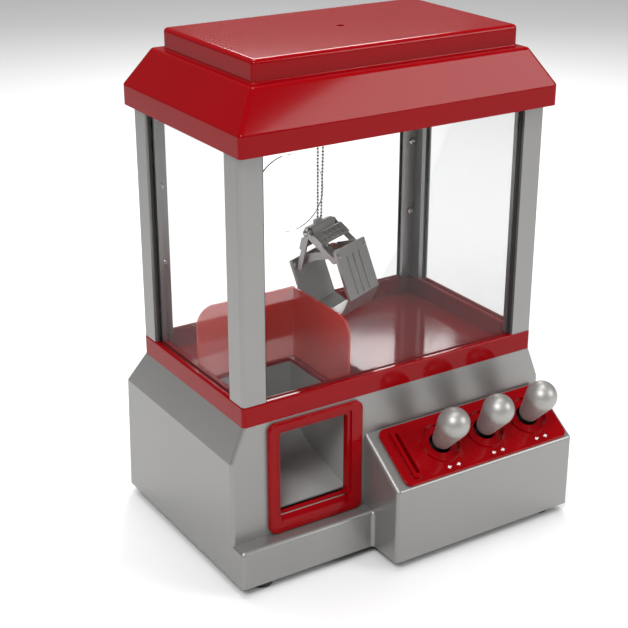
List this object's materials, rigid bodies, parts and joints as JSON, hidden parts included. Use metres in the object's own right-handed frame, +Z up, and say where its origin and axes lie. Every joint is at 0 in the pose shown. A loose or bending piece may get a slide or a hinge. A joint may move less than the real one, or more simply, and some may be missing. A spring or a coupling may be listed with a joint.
{
  "type": "claw crane machine",
  "caption": "Table-top claw crane toy: glazed cabinet under a red canopy, console with joysticks and a coin slot, prize chute and door, and a two-jawed grab on a chain.",
  "frame": {"origin": "on the table, under the middle of the machine's overall box", "axes": "+X to the player's right, +Y to the back, +Z up"},
  "size_m": [0.224, 0.1784, 0.306],
  "materials": {
    "silver": "satin silver lacquer on moulded plastic",
    "red": "high gloss",
    "black_plastic": "fine matte",
    "white_plastic": "matte",
    "grey": "satin",
    "cell": "wrapped cell",
    "rubber": "matte",
    "steel": "bright",
    "board": "green laminate",
    "clear_red": "clear red plastic",
    "knob": "satin metallic",
    "clear": "clear plastic sheet",
    "motor": "plated can",
    "chain": "bright beads",
    "claw": "satin grey",
    "copper": "coppered wire"
  },
  "bodies": {
    "cabinet": {"base_housing": "silver", "bottom_plate": "black_plastic", "battery_tray": "black_plastic", "batteries": "cell", "rubber_feet": "rubber", "bottom_screws": "steel", "circuit_board": "board", "speaker": "black_plastic", "deck_tray": "red", "prize_chute": "grey", "prize_bezel": "red", "chute_guard": "clear_red", "control_panel": "red", "coin_chute": "black_plastic", "joystick_brackets": "black_plastic", "front_left_post": "silver", "front_right_post": "silver", "rear_left_post": "silver", "rear_right_post": "silver", "window_clamps": "silver", "clamp_screws": "steel", "front_window": "clear", "rear_window": "clear", "left_window": "clear", "right_window": "clear", "window_gaskets": "rubber", "canopy": "red", "ceiling_plate": "black_plastic", "canopy_screws": "steel", "bridge_rails": "steel", "bridge_motor": "motor"},
    "battery_door": {"battery_door": "black_plastic"},
    "power_switch": {"power_switch": "black_plastic"},
    "coin_lever": {"coin_lever": "white_plastic"},
    "left_joystick": {"left_knob": "knob", "left_stem": "black_plastic"},
    "middle_joystick": {"middle_knob": "knob", "middle_stem": "black_plastic"},
    "right_joystick": {"right_knob": "knob", "right_stem": "black_plastic"},
    "bridge_screw": {"bridge_screw": "steel"},
    "bridge": {"bridge_frame": "white_plastic", "span_rods": "steel", "trolley_motor": "motor"},
    "trolley_screw": {"trolley_screw": "steel"},
    "trolley": {"trolley_frame": "white_plastic", "hoist_motor": "motor", "grip_motor": "motor", "hoist_chains": "chain"},
    "drum": {"hoist_drum": "white_plastic"},
    "claw": {"claw_yoke": "claw", "near_link": "claw", "far_link": "claw"},
    "claw_hub": {"claw_hub": "claw", "claw_spring": "copper"},
    "near_jaw": {"near_jaw": "claw"},
    "far_jaw": {"far_jaw": "claw"}
  },
  "joints": [
    {"name": "battery_door_slide", "type": "slide", "parent": "cabinet", "child": "battery_door", "axis": [0, 1, 0], "range_m": [0, 0.06]},
    {"name": "power_switch_slide", "type": "slide", "parent": "cabinet", "child": "power_switch", "axis": [1, 0, 0], "range_m": [0, 0.005]},
    {"name": "coin_lever_hinge", "type": "hinge", "parent": "cabinet", "child": "coin_lever", "pos_m": [0.0017, -0.05668, 0.04948], "axis": [0, 0.8302, 0.5574], "range_deg": [-25, 0], "stiffness_Nm_per_rad": 0.0006},
    {"name": "left_joystick_tilt", "type": "hinge", "parent": "cabinet", "child": "left_joystick", "pos_m": [0.0216, -0.05975, 0.05584], "axis": [0, 0.8302, 0.5574], "range_deg": [-10, 10], "stiffness_Nm_per_rad": 0.05},
    {"name": "middle_joystick_tilt", "type": "hinge", "parent": "cabinet", "child": "middle_joystick", "pos_m": [0.0553, -0.05975, 0.05584], "axis": [0, 0.8302, 0.5574], "range_deg": [-10, 10], "stiffness_Nm_per_rad": 0.05},
    {"name": "right_joystick_tilt", "type": "hinge", "parent": "cabinet", "child": "right_joystick", "pos_m": [0.089, -0.05975, 0.05584], "axis": [0, 0.8302, 0.5574], "range_deg": [-10, 10], "stiffness_Nm_per_rad": 0.05},
    {"name": "bridge_slide", "type": "slide", "parent": "cabinet", "child": "bridge", "axis": [1, 0, 0], "range_m": [-0.004, 0.06]},
    {"name": "bridge_screw_spin", "type": "hinge", "parent": "cabinet", "child": "bridge_screw", "pos_m": [-0.001, 0.05923, 0.2708], "axis": [1, 0, 0], "continuous": true},
    {"name": "trolley_slide", "type": "slide", "parent": "bridge", "child": "trolley", "axis": [0, 1, 0], "range_m": [-0.026, 0.008]},
    {"name": "trolley_screw_spin", "type": "hinge", "parent": "bridge", "child": "trolley_screw", "pos_m": [-0.0095, 0.03223, 0.2738], "axis": [0, 1, 0], "continuous": true},
    {"name": "claw_lift", "type": "slide", "parent": "trolley", "child": "claw", "axis": [0, 0, 1], "range_m": [-0.012, 0.05], "deforming": ["hoist_chains"]},
    {"name": "drum_spin", "type": "hinge", "parent": "trolley", "child": "drum", "pos_m": [-0.001, 0.03663, 0.2788], "axis": [1, 0, 0], "continuous": true},
    {"name": "claw_hub_slide", "type": "slide", "parent": "claw", "child": "claw_hub", "axis": [-0.1478, 0.3229, 0.9348], "range_m": [-0.006, 0]},
    {"name": "near_jaw_hinge", "type": "hinge", "parent": "claw_hub", "child": "near_jaw", "pos_m": [0.00136, 0.02706, 0.16425], "axis": [-0.9092, -0.4163, 0], "range_deg": [0, 26]},
    {"name": "far_jaw_hinge", "type": "hinge", "parent": "claw_hub", "child": "far_jaw", "pos_m": [0.00136, 0.02706, 0.16425], "axis": [0.9092, 0.4163, 0], "range_deg": [0, 26]}
  ],
  "couplings": [
    {"joint": "bridge_screw_spin", "follows": "bridge_slide", "rad_per_m": 785.4},
    {"joint": "trolley_screw_spin", "follows": "trolley_slide", "rad_per_m": 785.4},
    {"joint": "drum_spin", "follows": "claw_lift", "rad_per_m": 243.9},
    {"joint": "near_jaw_hinge", "follows": "claw_hub_slide", "rad_per_m": -75.34},
    {"joint": "far_jaw_hinge", "follows": "claw_hub_slide", "rad_per_m": -75.34}
  ]
}
